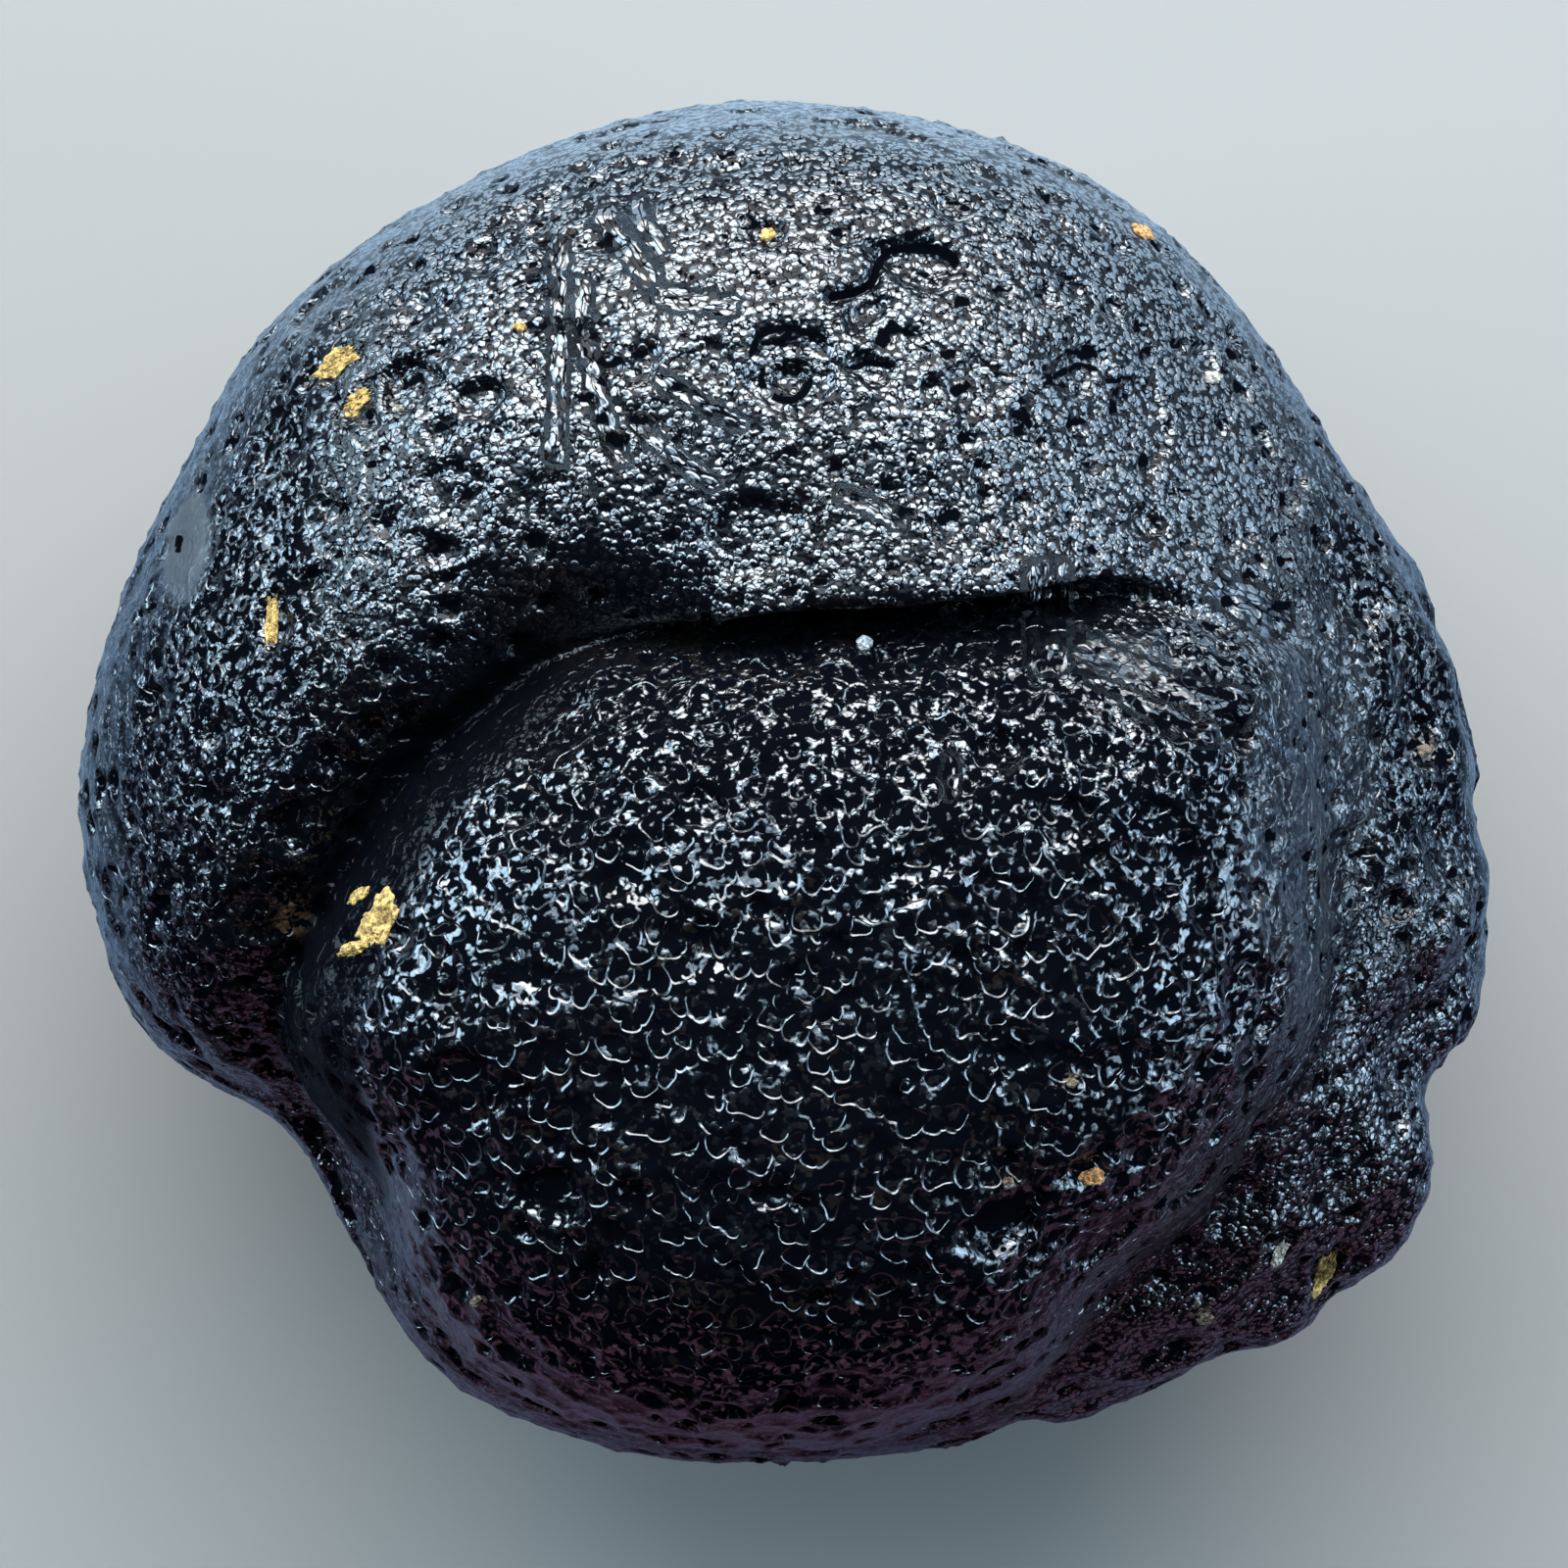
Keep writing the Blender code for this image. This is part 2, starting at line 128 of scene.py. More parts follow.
# Pits. A named one has its place in a view from VIEW_HEIGHT above, as it appears at the widest level, its
# half length and half width, the angle of its length, its depth, and where its steep side is if it has one
VIEW_HEIGHT = 325.0
PITS = (
    (0.3, 14.7, 1.7, 1.6, 0, 0.5, None), (0.3, 14.6, 0.8, 0.75, 0, 1.0, None),
    (4.9, 18.6, 2.0, 1.3, -15, 0.9, 100), (3.0, 16.9, 1.2, 0.8, 50, 0.75, 130),
    (3.2, 14.8, 1.2, 0.8, -10, 0.6, 90), (10.5, 14.5, 1.3, 1.2, 0, 0.55, 90),
    (15.1, 15.2, 1.0, 0.8, 20, 0.6, 90), (6.1, 20.6, 0.9, 0.8, 0, 0.5, 90),
    (-2.1, 22.2, 1.0, 0.7, 30, 0.6, 90), (-0.6, 19.8, 0.8, 0.7, 0, 0.6, None),
    (-8.9, 20.6, 1.2, 0.6, 10, 0.55, None), (-10.5, 19.0, 1.0, 0.9, 0, 0.6, None),
    (-15.9, 15.1, 1.2, 0.7, 35, 0.6, None), (-15.3, 13.7, 1.1, 0.6, 40, 0.6, None),
    (-12.9, 17.1, 1.2, 0.9, 30, 0.5, 200), (-13.5, 14.4, 1.2, 1.1, 0, 0.8, None),
    (-10.9, 13.8, 1.0, 0.8, 0, 0.6, None), (-5.0, 15.0, 1.1, 0.6, 60, 0.5, None),
    (-18.3, 5.9, 0.6, 1.2, 0, 0.55, None), (-22.6, 2.8, 0.9, 0.8, 0, 0.6, None),
    (-17.7, -1.8, 1.0, 1.2, 0, 0.7, 60), (13.0, 9.3, 0.9, 0.7, 0, 0.55, None),
    (7.7, 1.2, 1.0, 0.9, 0, 0.75, None), (16.3, 1.8, 1.1, 0.7, -30, 0.75, None),
    (3.7, 4.2, 1.1, 0.9, 0, 0.6, None), (-3.0, -0.9, 1.0, 0.9, 0, 0.6, None),
    (-5.6, -3.5, 1.3, 1.1, 0, 0.5, 270), (-3.0, -6.0, 1.3, 1.2, 0, 0.5, 270),
    (-11.9, -7.7, 1.0, 0.9, 0, 0.65, 270), (10.2, -1.4, 1.2, 1.1, 0, 0.5, None),
    (4.9, -2.8, 1.4, 1.0, 20, 0.5, 270), (8.0, -15.9, 1.8, 1.3, 20, 0.9, None),
    (10.9, -14.0, 0.8, 0.8, 0, 0.7, None), (12.8, -13.3, 0.9, 0.8, 0, 0.6, None),
    (-8.4, -14.9, 1.4, 1.1, 0, 0.7, None), (-11.7, -18.2, 0.9, 0.8, 0, 0.7, None),
    (19.5, -17.4, 0.7, 1.3, -25, 0.8, None), (17.8, -16.6, 0.8, 0.8, 0, 0.7, None),
    (22.0, -4.5, 0.9, 0.7, 0, 0.7, None), (22.9, 1.4, 0.8, 1.1, 0, 0.7, None),
)
MORE_PITS = 170
MORE_PIT_SIZE = (0.8, 1.5)
PIT_SEED = 8

# The fine surface: it keeps more triangles above than below
VOXEL = 0.17
SMOOTH_ROUNDS = 20
SOFT_ROUNDS = 300
TRIANGLES = 198000
THIN_ABOVE = 0.35
# The smaller pits, the width of a pit's wall, and the share of their depth that pits keep here
SMALL_PITS = 1900
SMALL_PIT_SIZE = (0.25, 0.6)
SMALL_PIT_SEED = 21
PIT_WALL = 0.32
PIT_SHARE = 0.6
MORE_PIT_SHARE = 0.5
# Painted shade in the pits: their lit side stays out, and shallow ones only have a dark crescent
PIT_LIT = (-0.55, 0.05)
DARK_DEPTH = 0.66
CRESCENT_SHADE = 0.74
# How far the stone's rim turns away from the camera where it becomes smoother
RIM_TILT = (0.4, 0.8)
# The most places that are tried for the middles of cups, and how far apart these are in cup sizes
TRIES = 60000
CUPS_APART = 0.72
# Grooves in a ring: the place in the view, its radius, the groove's width and its depth
RINGS = (
    (0.3, 14.6, 1.1, 0.24, 0.26), (-3.0, -6.1, 0.9, 0.2, 0.14), (-11.9, -7.7, 0.85, 0.2, 0.14),
    (14.0, 1.0, 0.45, 0.16, 0.12), (10.5, 14.5, 1.15, 0.22, 0.14),
)
# Bundles of fine lines: their half width, and the way they run in the view
STREAKS = (
    (0.5, ((-8.05, 20.0), (-8.0, 15.4), (-8.2, 10.9))),
    (0.45, ((-7.2, 18.5), (-7.0, 15.5), (-6.2, 12.6), (-5.4, 11.0))),
    (0.6, ((-6.6, 21.0), (-5.9, 19.6), (-4.9, 18.3), (-4.2, 17.7))),
    (0.5, ((-5.4, 21.3), (-4.9, 20.0), (-4.0, 18.7))),
    (0.6, ((-5.0, 17.6), (-3.2, 17.3), (-1.2, 17.0))), (0.45, ((-4.8, 14.9), (-3.0, 13.6), (-1.0, 12.6))),
    (0.45, ((-5.6, 13.4), (-3.8, 11.6), (-2.0, 10.4))), (0.45, ((1.5, 10.6), (3.2, 9.9), (4.8, 9.0))),
    (0.9, ((9.8, 5.2), (13.3, 3.5), (17.2, 2.4))), (0.7, ((10.8, 4.2), (13.5, 2.6), (16.0, 1.4))),
    (1.1, ((9.6, 8.4), (9.5, 6.0), (9.6, 3.5))), (0.9, ((15.0, 7.4), (16.8, 6.3), (18.2, 5.2))),
    (0.4, ((6.1, 1.4), (6.0, 0.2), (6.1, -1.0))),
)
# Smooth places: the place in the view, half length, half width, the angle of the length, and how smooth it is
BARE = ((-21.3, 8.4, 2.1, 0.8, 80, 0.75), (12.1, 4.6, 2.1, 0.8, -12, 0.15), (18.9, -0.7, 6.8, 2.4, 86, 0.15))
# Crevices, grooved and painted black as shade: the half width of the line, its depth, and the way it runs in
# the view
CREVICES = (
    (0.16, 0.45, ((1.75, 17.45), (2.45, 17.6), (3.15, 17.95), (3.4, 18.6), (3.8, 19.05), (4.55, 19.2))),
    (0.2, 0.45, ((4.55, 19.2), (5.3, 19.15), (5.9, 18.95), (6.2, 18.6))),
    (0.10, 0.15, ((4.2, 18.3), (5.1, 18.2), (5.6, 17.85))),
    (0.13, 0.20, ((-1.15, 15.4), (-0.75, 16.1), (0.2, 16.3), (0.9, 16.15))),
    (0.14, 0.25, ((-0.75, 14.9), (-0.7, 14.2), (-0.1, 13.75), (0.6, 13.85), (0.95, 14.4))),
    (0.12, 0.20, ((2.45, 14.9), (3.2, 15.05), (4.0, 14.9))), (0.09, 0.12, ((4.5, 15.9), (5.4, 15.45))),
    (0.13, 0.20, ((9.75, 14.6), (10.5, 14.95), (11.2, 14.8))), (0.11, 0.15, ((11.5, 14.4), (12.2, 14.5))),
    (0.11, 0.15, ((5.9, 20.9), (6.6, 20.6))), (0.14, 0.10, ((-21.6, 8.75), (-21.66, 8.35))),
)
# The fan of fine lines: the place in the view, half length, half width and the angle of the length
FAN = (11.9, 4.4, 5.4, 1.9, -14)
# Stains: the place in the view and the radius
STAINS = ((-17.5, -4.9, 0.9), (8.0, -14.2, 0.5), (10.3, -10.7, 0.45), (15.0, -19.1, 0.5), (22.9, 1.2, 0.6))

# Clay in the pits: the place in the view, half length, half width, the angle of the length, and its colour
CLAY = (
    (-15.9, 15.1, 0.95, 0.35, 35, "ochre"), (-15.3, 13.6, 0.6, 0.35, 45, "ochre"),
    (-18.3, 5.85, 0.85, 0.27, 88, "ochre"), (-14.5, -4.9, 1.0, 0.6, 62, "ochre"),
    (-15.4, -5.9, 0.55, 0.2, 20, "ochre"), (-15.2, -4.0, 0.5, 0.16, 40, "ochre"),
    (-0.6, 19.6, 0.3, 0.22, 0, "ochre"), (-9.4, 16.3, 0.25, 0.18, 0, "ochre"),
    (11.0, -14.0, 0.42, 0.36, 20, "orange"), (8.0, -14.2, 0.2, 0.16, 0, "brown"),
    (10.3, -10.7, 0.22, 0.14, 30, "brown"), (-11.0, -18.5, 0.3, 0.18, 30, "brown"),
    (19.3, -17.4, 0.95, 0.33, 65, "ochre"), (17.7, -16.8, 0.55, 0.2, 60, "pale"),
    (15.0, -19.1, 0.3, 0.2, 20, "brown"), (22.9, 1.2, 0.3, 0.25, 0, "brown"),
    (12.8, 19.7, 0.45, 0.25, -20, "orange"), (-13.8, 13.4, 0.25, 0.15, 0, "pale"),
    (15.3, 14.5, 0.35, 0.2, 0, "pale"),
)
CLAY_COLOURS = {
    "ochre": (0.52, 0.30, 0.045),
    "orange": (0.50, 0.21, 0.035),
    "brown": (0.15, 0.09, 0.035),
    "pale": (0.42, 0.38, 0.30),
}
CLAY_THICK = 0.16
GRAIN = (2.87, 4.95, 0.27)
# Cups that meet in sharp ridges: their size, the ridges' height and the seed, on the ball and on the hood
BALL_CUP = (1.5, 0.06, 5)
HOOD_CUP = (1.2, 0.03, 9)
# The ball's face: its soft edge at the crease, and its soft edge in height
BALL_EDGE = (0.8, -0.8)
BALL_ABOVE = (19, 22)
# Stretches along the crease, the flank with a lower fine relief and the gully painted in shade: the name, the
# stretch around the ball, and the edges outside the crease
CREASE_STRETCHES = (
    ("flank", (118, 205, 14), (0.2, 1.2), (4.0, 2.0)),
    ("gully", (120, 203, 10), (-1.2, -0.5), (3.2, 2.0)),
)
# Rounded lumps on the lower right: their stretch around the ball, their size across and their height
LUMPY_SPAN = (-75, 8, 12)
SOFT_LUMP = (1.3, 0.15)

# The glass's colours, the black of its painted shade and dulling, and the sizes of its cups, beads and gaps
# in millimetres
BLUE_BLACK = (0.0028, 0.0032, 0.0045, 1)
BROWN_BLACK = (0.0055, 0.004, 0.003, 1)
DARK = (0.001, 0.0012, 0.002, 1)
STAIN = (0.10, 0.055, 0.02, 1)
CUP_SIZE = 0.85
CUP_RIM = 0.09
BEAD_SIZE = 0.27
GAP_SIZE = 0.24
GAP_WIDTH = 0.058

# The floor as the camera sees it, and the painted reflection of it in the stone: in front, beside and behind
FLOOR = (0.19, 0.172, 0.153, 1)
PAINTED_REFLECTION_FRONT = (0.11, 0.045, 0.07, 1)
PAINTED_REFLECTION_BESIDE = (0.15, 0.21, 0.29, 1)
PAINTED_REFLECTION_BEHIND = (0.56, 0.66, 0.74, 1)

# Softboxes: the name, the place, the size, the power and the colour
SOFTBOXES = (
    ("key", (0, 0.52, 0.33), (1.0, 0.6), 20.5, (0.93, 0.97, 1.0)),
    ("sky", (0, 0.40, 0.68), (1.2, 0.62), 10.5, (0.55, 0.78, 1.0)),
    ("left", (-0.55, 0.22, 0.20), (0.6, 0.4), 8.0, (0.55, 0.80, 1.0)),
    ("right", (0.55, 0.12, 0.20), (0.6, 0.4), 5.0, (0.52, 0.76, 1.0)),
    ("lower right", (0.5, -0.16, 0.26), (0.4, 0.3), 1.6, (0.52, 0.76, 1.0)),
    ("low fill", (0.05, -0.6, 0.04), (0.8, 0.12), 0.2, (1.0, 0.50, 0.66)),
)
# The world's light on the stone, and what the camera sees of it
DARK_WORLD = (0.006, 0.006, 0.007, 1)
PALE_WORLD = (0.5, 0.5, 0.51, 1)

CAMERA_LENS = 200.0
CAMERA_SENSOR = 36.0


def ring(table, angles):
    """The distance that a table gives at these angles in radians, on a smooth closed curve."""
    turn = 2 * math.pi
    at = np.radians([a for a, _ in table])
    far = np.array([r for _, r in table])
    at = np.concatenate([at - turn, at, at + turn])
    far = np.concatenate([far, far, far])
    slope = np.gradient(far, at)
    angles = np.mod(angles, turn)
    i = np.searchsorted(at, angles, side="right") - 1
    step = at[i + 1] - at[i]
    t = (angles - at[i]) / step
    return (
        (2 * t**3 - 3 * t**2 + 1) * far[i]
        + (t**3 - 2 * t**2 + t) * step * slope[i]
        + (3 * t**2 - 2 * t**3) * far[i + 1]
        + (t**3 - t**2) * step * slope[i + 1]
    )


def points_of(mesh):
    found = np.empty(len(mesh.vertices) * 3, np.float32)
    mesh.vertices.foreach_get("co", found)
    return found.reshape(-1, 3).astype(float)


def set_points(mesh, points):
    mesh.vertices.foreach_set("co", np.asarray(points, np.float32).ravel())
    mesh.update()


def normals_of(mesh):
    found = np.empty(len(mesh.vertices) * 3, np.float32)
    mesh.vertices.foreach_get("normal", found)
    return found.reshape(-1, 3).astype(float)


def surface_of(obj):
    mesh = obj.data
    return BVHTree.FromPolygons([v.co for v in mesh.vertices], [f.vertices for f in mesh.polygons])


def smooth_step(low, high, value):
    t = np.clip((value - low) / (high - low), 0, 1)
    return t * t * (3 - 2 * t)


def sector(angle, start, end, soft):
    """1 between two angles in degrees, going to 0 over a soft edge at each."""
    half = (end - start) / 2
    off = np.degrees(np.abs(np.angle(np.exp(1j * (angle - math.radians(start + half))))))
    return 1 - smooth_step(half - soft, half + soft, off)


def around_ball(points):
    """The angle of each point about the ball's middle, and its distance outside the crease."""
    x, y = points[:, 0] - BALL_MIDDLE[0], points[:, 1] - BALL_MIDDLE[1]
    angle = np.arctan2(y, x)
    return angle, np.hypot(x, y) - ring(CREASE, angle)


def new_sphere(name, finer):
    """A unit sphere of even triangles."""
    bpy.ops.mesh.primitive_ico_sphere_add(subdivisions=finer, radius=1)
    obj = bpy.context.object
    obj.name = name
    return obj


def settle(obj):
    """Gives the object the mesh that its modifiers make."""
    graph = bpy.context.evaluated_depsgraph_get()
    made = bpy.data.meshes.new_from_object(obj.evaluated_get(graph))
    old = obj.data
    obj.modifiers.clear()
    obj.data = made
    bpy.data.meshes.remove(old)


def body():
    """The hood and the back, in one bun that is lower on its right."""
    obj = new_sphere("stone", 8)
    p = points_of(obj.data)
    flat, up = np.hypot(p[:, 0], p[:, 1]), np.abs(p[:, 2])
    above = p[:, 2] > 0
    angle = np.arctan2(p[:, 1], p[:, 0])
    power = 2 / np.where(above, HOOD_FULLNESS, BACK_FULLNESS)
    right = smooth_step(-0.2, 0.9, np.cos(angle - math.radians(LOW_SIDE))) * smooth_step(0.2, 0.9, flat)
    rise = HOOD_RISE + (RIGHT_RISE - HOOD_RISE) * right
    wide = ring(OUTLINE, angle) * flat**power
    z = np.where(above, up**power * rise, -(up**power) * BACK_DEPTH)
    lean = HOOD_LEAN * np.where(above, up**2, 0)
    x, y = OUTLINE_MIDDLE[0] + wide * np.cos(angle), OUTLINE_MIDDLE[1] + wide * np.sin(angle) + lean
    q = np.column_stack([x, y, z + WIDEST_HEIGHT])
    turn, out = around_ball(q)
    roll = sector(turn, *FLANK_SPAN) * FLANK_DROP * np.exp(-((np.maximum(out, 0) / FLANK_WIDTH) ** 2))
    lip = sector(turn, *LIP_SPAN) * LIP_RAISE * np.exp(-((out / LIP_WIDTH) ** 2))
    q[:, 2] += np.where(q[:, 2] > HOOD_FOOT, lip - roll, 0)
    set_points(obj.data, q)
    return obj


def ball():
    obj = new_sphere("ball", 7)
    p = points_of(obj.data)
    flat, up = np.hypot(p[:, 0], p[:, 1]), np.abs(p[:, 2])
    angle = np.arctan2(p[:, 1], p[:, 0])
    power = 2 / BALL_FULLNESS
    more = UNDER_HOOD * sector(angle, *COVERED_SPAN) + RIGHT_SPREAD * sector(angle, *SPREAD_SPAN)
    wide = (ring(CREASE, angle) + more) * flat**power
    z = np.where(p[:, 2] > 0, up**power * BALL_RISE, -(up**power) * BALL_DEPTH)
    x, y = BALL_MIDDLE[0] + wide * np.cos(angle), BALL_MIDDLE[1] + wide * np.sin(angle)
    set_points(obj.data, np.column_stack([x, y, z + BALL_LEVEL]))
    return obj


def socket():
    """What opens the crease: a plug with the crease's outline, wider below than at the lip."""
    obj = new_sphere("socket", 7)
    p = points_of(obj.data)
    flat, up = np.hypot(p[:, 0], p[:, 1]), np.abs(p[:, 2])
    angle = np.arctan2(p[:, 1], p[:, 0])
    gap = LIP_GAP + (FLANK_GAP - LIP_GAP) * sector(angle, *GAP_SPAN)
    gap -= CLOSED_BY * sector(angle, *CLOSED_SPAN)
    wide = (ring(CREASE, angle) + gap) * flat ** SOCKET_POWERS[0]
    middle, half = (SOCKET_TOP + SOCKET_FLOOR) / 2, (SOCKET_TOP - SOCKET_FLOOR) / 2
    z = middle + np.sign(p[:, 2]) * up ** SOCKET_POWERS[1] * half
    wide *= 1 + smooth_step(*UNDERCUT_BELOW, z) * UNDERCUT
    x, y = BALL_MIDDLE[0] + wide * np.cos(angle), BALL_MIDDLE[1] + wide * np.sin(angle)
    set_points(obj.data, np.column_stack([x, y, z]))
    return obj


def join(obj, other, operation):
    modifier = obj.modifiers.new(operation.lower(), "BOOLEAN")
    modifier.operation = operation
    modifier.object = other
    settle(obj)
    bpy.data.objects.remove(other)


def remesh(obj, size, rounds):
    modifier = obj.modifiers.new("remesh", "REMESH")
    modifier.mode = "VOXEL"
    modifier.voxel_size = size
    modifier = obj.modifiers.new("smooth", "SMOOTH")
    modifier.iterations = rounds
    settle(obj)


def soften(obj, weights, rounds):
    """Smooths the surface where the weights are above 0."""
    group = obj.vertex_groups.new(name="soft")
    for i in np.nonzero(weights > 0.01)[0]:
        group.add([int(i)], float(weights[i]), "REPLACE")
    modifier = obj.modifiers.new("smooth", "SMOOTH")
    modifier.iterations = rounds
    modifier.vertex_group = group.name
    settle(obj)
    obj.vertex_groups.clear()


def softer_places(p):
    """1 in the valley at the ball's right and at the ball's foot, which have no sharp edge."""
    turn, out = around_ball(p)
    valley = sector(turn, *VALLEY_SPAN) * np.exp(-((out / VALLEY_WIDTH) ** 2))
    valley *= smooth_step(*VALLEY_ABOVE, p[:, 2])
    foot = sector(turn, *FOOT_SPAN) * smooth_step(*FOOT_BELOW, p[:, 2])
    foot *= smooth_step(*FOOT_ABOVE, p[:, 2])
    return np.clip(valley + foot, 0, 1)


def swell(obj):
    """Raises low swells all over, and lumps on the rim below the ball's right side."""
    p, n = points_of(obj.data), normals_of(obj.data)
    turn, out = around_ball(p)
    rim = sector(turn, *RIM_SPAN) * smooth_step(*RIM_EDGE, out) * smooth_step(*RIM_BELOW, p[:, 2])
    far = np.array([noise.noise(Vector(q / SWELL[0])) for q in p]) * SWELL[1]
    near = np.array([noise.noise(Vector(q / LUMP[0] + 40)) for q in p]) * LUMP[1]
    set_points(obj.data, p + n * (far + near * rim)[:, None])


def pits_on(obj):
    """Every pit, where it lies on the surface: its place, the way it faces and its measures."""
    surface = surface_of(obj)
    eye = Vector((0, 0, VIEW_HEIGHT))
    found = []
    for x, y, long, short, angle, deep, steep in PITS:
        place, facing, _, _ = surface.ray_cast(eye, (Vector((x, y, WIDEST_HEIGHT)) - eye).normalized())
        steep = None if steep is None else math.radians(steep)
        found.append((place, facing, long, short, math.radians(angle), deep, steep))
    draw = random.Random(PIT_SEED)
    middle = Vector((0, 0, WIDEST_HEIGHT))
    golden = math.pi * (3 - math.sqrt(5))
    for i in range(MORE_PITS):
        up = 1 - (2 * i + 1) / MORE_PITS + draw.uniform(-0.03, 0.03)
        turn = i * golden + draw.uniform(-0.16, 0.16)
        flat = math.sqrt(max(0, 1 - up * up))
        way = Vector((flat * math.cos(turn), flat * math.sin(turn), up))
        place, facing, _, _ = surface.ray_cast(middle + way * 60, -way)
        size = draw.uniform(*MORE_PIT_SIZE)
        long, angle = size * draw.uniform(1, 1.4), draw.uniform(0, math.pi)
        if place and min((place - p[0]).length - p[2] for p in found) > size:
            deep = size * draw.uniform(0.35, 0.6) * (MORE_PIT_SHARE if facing.z > 0.1 else 1)
            found.append((place, facing, long, size, angle, deep, None))
    return found


def small_pits(obj):
    """Many smaller pits, at random places on the surface."""
    p, n = points_of(obj.data), normals_of(obj.data)
    draw = random.Random(SMALL_PIT_SEED)
    found = []
    for _ in range(SMALL_PITS):
        i = draw.randrange(len(p))
        size = draw.uniform(*SMALL_PIT_SIZE)
        long, angle = size * draw.uniform(1, 1.6), draw.uniform(0, math.pi)
        found.append((Vector(p[i]), Vector(n[i]), long, size, angle, size * draw.uniform(0.25, 0.5), None))
    return found


def tree_of(points):
    tree = KDTree(len(points))
    for i, co in enumerate(points):
        tree.insert(co, i)
    tree.balance()
    return tree


def pit_depths(p, n, tree, pits):
    """How far each point is pressed in. A steep side deepens that half of a pit."""
    depth = np.zeros(len(p))
    for place, facing, long, short, angle, deep, steep in pits:
        near = np.array([i for _, i, _ in tree.find_range(place, max(long, short) * 1.15)], int)
        if not len(near):
            continue
        side = Vector((math.cos(angle), math.sin(angle), 0))
        side = (side - facing * side.dot(facing)).normalized()
        away = p[near] - np.array(place)
        u, v = away @ np.array(side) / long, away @ np.array(facing.cross(side)) / short
        around = np.arctan2(v, u)
        uneven = 1 + 0.09 * np.sin(3 * around + place.x * 7) + 0.06 * np.sin(5 * around + place.y * 9)
        to_rim = np.sqrt(u * u + v * v) * uneven
        wall = np.full(len(near), min(0.7, PIT_WALL / short))
        if steep is not None:
            lean = np.clip(0.5 + (u * math.cos(steep - angle) + v * math.sin(steep - angle)) / 2, 0, 1)
            wall = wall * lean + (1 - lean)
        share = np.clip((1 - to_rim) / wall, 0, 1)
        share = share * share * (3 - 2 * share)
        share *= np.clip(n[near] @ np.array(facing), 0, 1)
        depth[near] = np.maximum(depth[near], deep * share)
    return depth


def painted_pit_shade(p, pits):
    """Painted shade: 1 in small and deep pits but for their lit side, and under the upper edge of the shallow
    ones.
    """
    tree = tree_of(p)
    shade = np.zeros(len(p))
    for place, _, long, short, _, deep, steep in pits:
        size = math.sqrt(long * short)
        near = np.array([i for _, i, _ in tree.find_range(place, size * 1.3)], int)
        if not len(near):
            continue
        away = (p[near] - np.array(place)) / size
        far = np.linalg.norm(away, axis=1)
        uneven = far + 0.12 * np.sin(3 * np.arctan2(away[:, 1], away[:, 0]) + place.x * 7)
        up = away[:, 1] - away[:, 0] * 0.25
        if size < SMALL_PIT_SIZE[1] * 1.3 or (deep > DARK_DEPTH and steep is None):
            here = smooth_step(0.9, 0.5, uneven) * smooth_step(*PIT_LIT, up)
        else:
            here = smooth_step(0.6, 0.8, uneven) * smooth_step(1.1, 0.95, uneven)
            here *= smooth_step(0.25, 0.7, up) * CRESCENT_SHADE
        shade[near] = np.maximum(shade[near], here)
    return shade * on_top(p)


def scatter(p, apart, seed):
    """Points of the surface at least this far apart, in a random order."""
    order = np.random.default_rng(seed).permutation(len(p))[:TRIES]
    cells = {}
    kept = []
    for i in order:
        x, y, z = p[i]
        cx, cy, cz = int(x // apart), int(y // apart), int(z // apart)
        free = True
        for dx in (-1, 0, 1):
            for dy in (-1, 0, 1):
                for dz in (-1, 0, 1):
                    for j in cells.get((cx + dx, cy + dy, cz + dz), ()):
                        q = p[j]
                        if (x - q[0]) ** 2 + (y - q[1]) ** 2 + (z - q[2]) ** 2 < apart * apart:
                            free = False
                            break
                    if not free:
                        break
                if not free:
                    break
            if not free:
                break
        if free:
            cells.setdefault((cx, cy, cz), []).append(i)
            kept.append(i)
    return p[kept]


def cups(p, size, ridge, seed):
    """A relief of cups that meet in sharp ridges of this height."""
    seeds = scatter(p, size * CUPS_APART, seed)
    lower = np.random.default_rng(seed + 1).uniform(0, 0.5, len(seeds))
    tree = tree_of(seeds)
    height = np.empty(len(p))
    for i, co in enumerate(p):
        height[i] = min((far * 2 / size) ** 3.5 - lower[j] for _, j, far in tree.find_n(co, 3))
    return (height + 0.25 - 1) * ridge


def seen(p):
    """Where points appear from above, at the widest level."""
    return p[:, :2] * ((VIEW_HEIGHT - WIDEST_HEIGHT) / (VIEW_HEIGHT - p[:, 2]))[:, None]


def on_top(p):
    return smooth_step(WIDEST_HEIGHT - 1, WIDEST_HEIGHT + 1, p[:, 2])


def ring_grooves(p):
    flat = seen(p)
    depth = np.zeros(len(p))
    for x, y, radius, wide, deep in RINGS:
        far = np.hypot(flat[:, 0] - x, flat[:, 1] - y)
        depth = np.maximum(depth, deep * np.exp(-(((far - radius) / wide) ** 2)))
    return depth * on_top(p)


def curve_through(points, steps=6):
    """Points of a smooth curve through these."""
    p = np.array([points[0], *points, points[-1]], float)
    found = []
    for a, b, c, d in zip(p, p[1:], p[2:], p[3:]):
        for t in np.arange(steps) / steps:
            bend = (2 * a - 5 * b + 4 * c - d) * t**2 + (3 * b - a - 3 * c + d) * t**3
            found.append(0.5 * (2 * b + (c - a) * t + bend))
    return np.array([*found, p[-1]])


